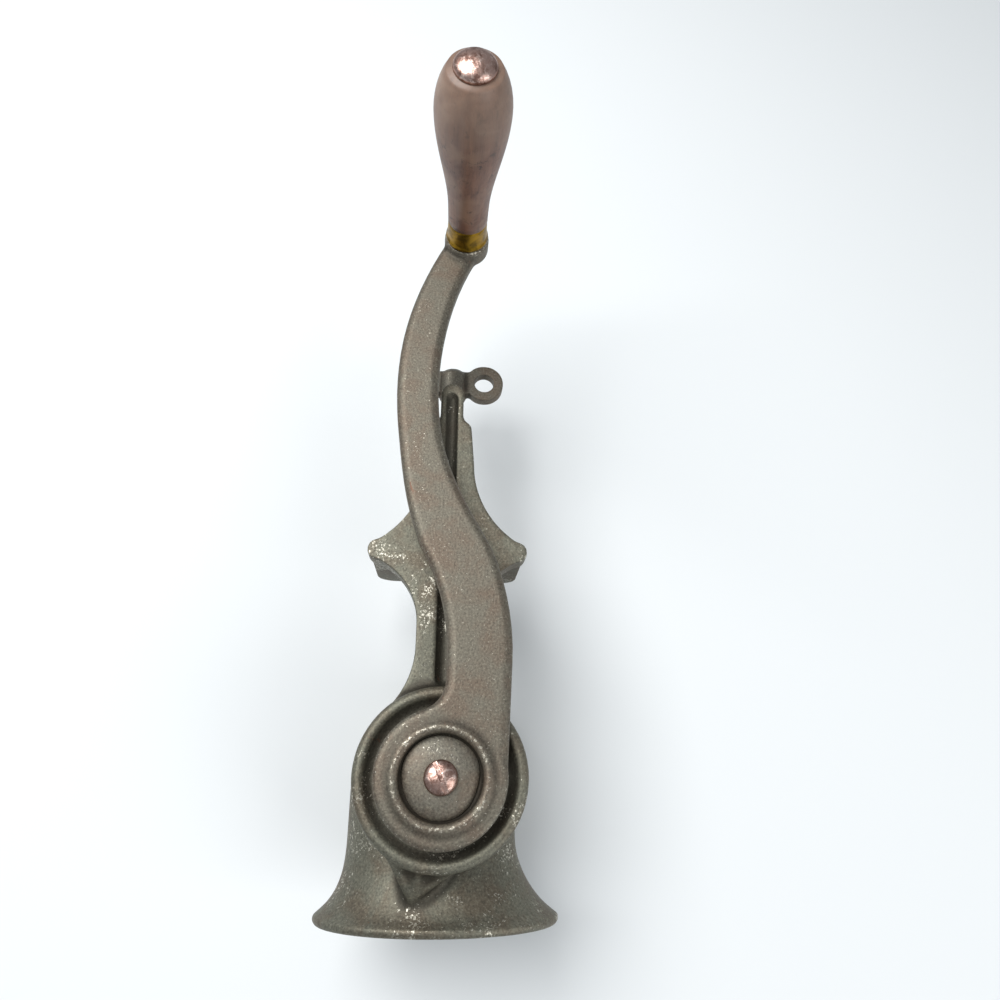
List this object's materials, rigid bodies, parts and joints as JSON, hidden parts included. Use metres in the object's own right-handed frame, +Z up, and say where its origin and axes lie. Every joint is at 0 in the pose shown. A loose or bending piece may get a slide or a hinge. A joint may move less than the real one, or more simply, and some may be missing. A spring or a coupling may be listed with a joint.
{
  "type": "meat grinder",
  "caption": "Old tinned cast-iron table-clamp meat grinder: flared oval hopper, beaded barrel, ring nut, S-curved hand crank with turned wooden grip, winged clamp with thumbscrew.",
  "frame": {"origin": "middle of the clamp seat, the underside of the upper jaw that rests on the table top", "axes": "+Z up to the hopper; the shaft runs along Y with the crank towards -Y and the discharge plate towards +Y; +X to the right seen from the crank side"},
  "size_m": [0.084, 0.1675, 0.2618],
  "materials": {
    "tinned_iron": "tinned, worn and lightly rusted",
    "worn_iron": "worn bare casting, lightly rusted",
    "bright_steel": "machined, oiled",
    "pink_steel": "worn to a warm tint",
    "old_brass": "tarnished",
    "old_wood": "dark, hand worn"
  },
  "bodies": {
    "casting": {"hopper": "tinned_iron", "barrel": "tinned_iron", "clamp_frame": "tinned_iron", "thrust_washer": "bright_steel", "plate_key": "bright_steel"},
    "crank": {"feed_screw": "worn_iron", "knife_stud": "bright_steel", "cutter_knife": "bright_steel", "crank_arm": "worn_iron", "crank_washer": "worn_iron", "crank_screw": "pink_steel", "handle_spindle": "pink_steel"},
    "grip": {"handle_grip": "old_wood", "handle_ferrule": "old_brass"},
    "plate": {"grinding_plate": "bright_steel"},
    "ring": {"ring_nut": "tinned_iron"},
    "pad": {"clamp_pad": "worn_iron"},
    "screw": {"clamp_screw": "worn_iron"}
  },
  "joints": [
    {"name": "crank_turn", "type": "hinge", "parent": "casting", "child": "crank", "pos_m": [0, -0.035, 0.081], "axis": [0, 1, 0], "continuous": true},
    {"name": "grip_turn", "type": "hinge", "parent": "crank", "child": "grip", "pos_m": [-0.0037, -0.08, -0.121], "axis": [0, 1, 0], "continuous": true},
    {"name": "plate_slide", "type": "slide", "parent": "casting", "child": "plate", "axis": [0, 1, 0], "range_m": [0, 0.009]},
    {"name": "ring_turn", "type": "hinge", "parent": "plate", "child": "ring", "pos_m": [0, 0.04, 0.081], "axis": [0, 1, 0], "range_deg": [0, 1081]},
    {"name": "pad_slide", "type": "slide", "parent": "casting", "child": "pad", "axis": [0, 0, 1], "range_m": [-0.03, 0.0055]},
    {"name": "screw_turn", "type": "hinge", "parent": "pad", "child": "screw", "pos_m": [0, 0.004, -0.04], "axis": [0, 0, 1], "range_deg": [-5401, 991]}
  ],
  "couplings": [
    {"joint": "ring_turn", "follows": "plate_slide", "rad_per_m": 2094.4},
    {"joint": "screw_turn", "follows": "pad_slide", "rad_per_m": 3141.6}
  ]
}
